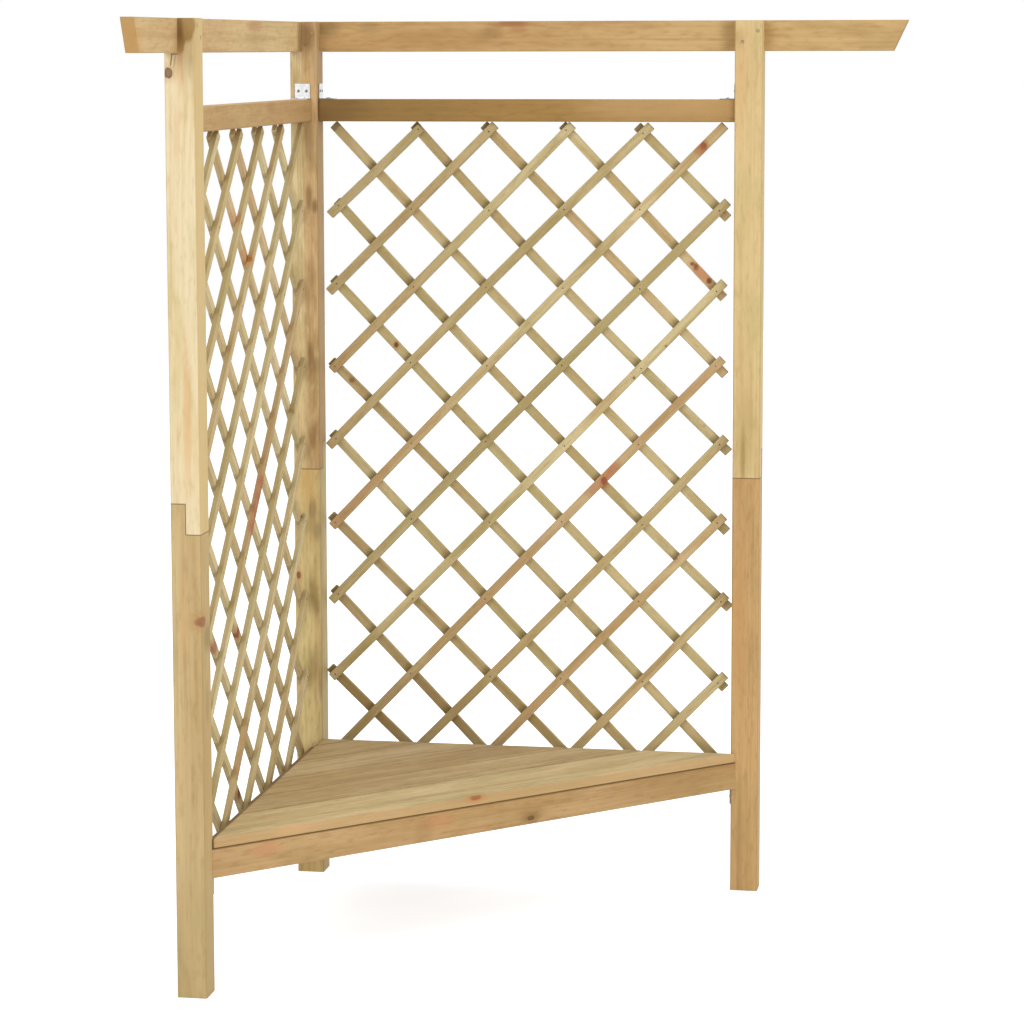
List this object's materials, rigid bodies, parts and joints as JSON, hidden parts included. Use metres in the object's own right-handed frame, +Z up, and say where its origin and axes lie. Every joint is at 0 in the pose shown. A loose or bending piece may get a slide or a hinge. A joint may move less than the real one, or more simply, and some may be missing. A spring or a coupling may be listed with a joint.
{
  "type": "corner arbour seat",
  "caption": "Corner arbour of notched timber posts and overhanging beams, with trellised wings at a right angle and a three-cornered plank bench between them.",
  "frame": {"origin": "on the ground under the middle of the whole arbour's bounding box", "axes": "+Z up; +X along the right wing, away from the corner post; -Y along the left wing, away from the corner post; the bench faces between +X and -Y"},
  "size_m": [1.3934, 1.365, 1.97],
  "materials": {
    "timber_posts": "planed softwood, pale yellow and tan, matt",
    "timber_beams": "planed softwood, pale yellow-green, matt",
    "timber_rails": "planed softwood, brown-olive, matt",
    "trellis_slats": "sawn softwood, olive-tan, matt",
    "seat_planks": "planed softwood with eased edges, greenish tan, matt",
    "seat_apron": "planed softwood, orange-tan, matt",
    "seat_bearers": "sawn softwood, tan, matt",
    "zinc_brackets": "zinc plated sheet, satin",
    "zinc_screws": "yellowish zinc plating, satin"
  },
  "bodies": {
    "root": {"corner_post_lap_screw_1": "zinc_screws", "corner_post_lap_screw_2": "zinc_screws", "corner_post_left_beam_screw_1": "zinc_screws", "corner_post_left_beam_screw_2": "zinc_screws", "corner_post_lower": "timber_posts", "corner_post_right_beam_screw_1": "zinc_screws", "corner_post_right_beam_screw_2": "zinc_screws", "corner_post_upper": "timber_posts", "left_beam": "timber_beams", "left_bearer": "seat_bearers", "left_bearer_bracket_corner": "zinc_brackets", "left_bearer_bracket_outer": "zinc_brackets", "left_post_beam_screw_1": "zinc_screws", "left_post_beam_screw_2": "zinc_screws", "left_post_lap_screw_1": "zinc_screws", "left_post_lap_screw_2": "zinc_screws", "left_post_lower": "timber_posts", "left_post_upper": "timber_posts", "left_rail": "timber_rails", "left_rail_bracket_corner": "zinc_brackets", "left_rail_bracket_outer": "zinc_brackets", "left_trellis": "trellis_slats", "middle_bearer": "seat_bearers", "right_beam": "timber_beams", "right_bearer": "seat_bearers", "right_bearer_bracket_corner": "zinc_brackets", "right_bearer_bracket_outer": "zinc_brackets", "right_post_beam_screw_1": "zinc_screws", "right_post_beam_screw_2": "zinc_screws", "right_post_lap_screw_1": "zinc_screws", "right_post_lap_screw_2": "zinc_screws", "right_post_lower": "timber_posts", "right_post_upper": "timber_posts", "right_rail": "timber_rails", "right_rail_bracket_corner": "zinc_brackets", "right_rail_bracket_outer": "zinc_brackets", "right_trellis": "trellis_slats", "seat_apron": "seat_apron", "seat_plank_1": "seat_planks", "seat_plank_2": "seat_planks", "seat_plank_3": "seat_planks", "seat_plank_4": "seat_planks", "seat_plank_5": "seat_planks", "seat_plank_6": "seat_planks"}
  },
  "joints": []
}
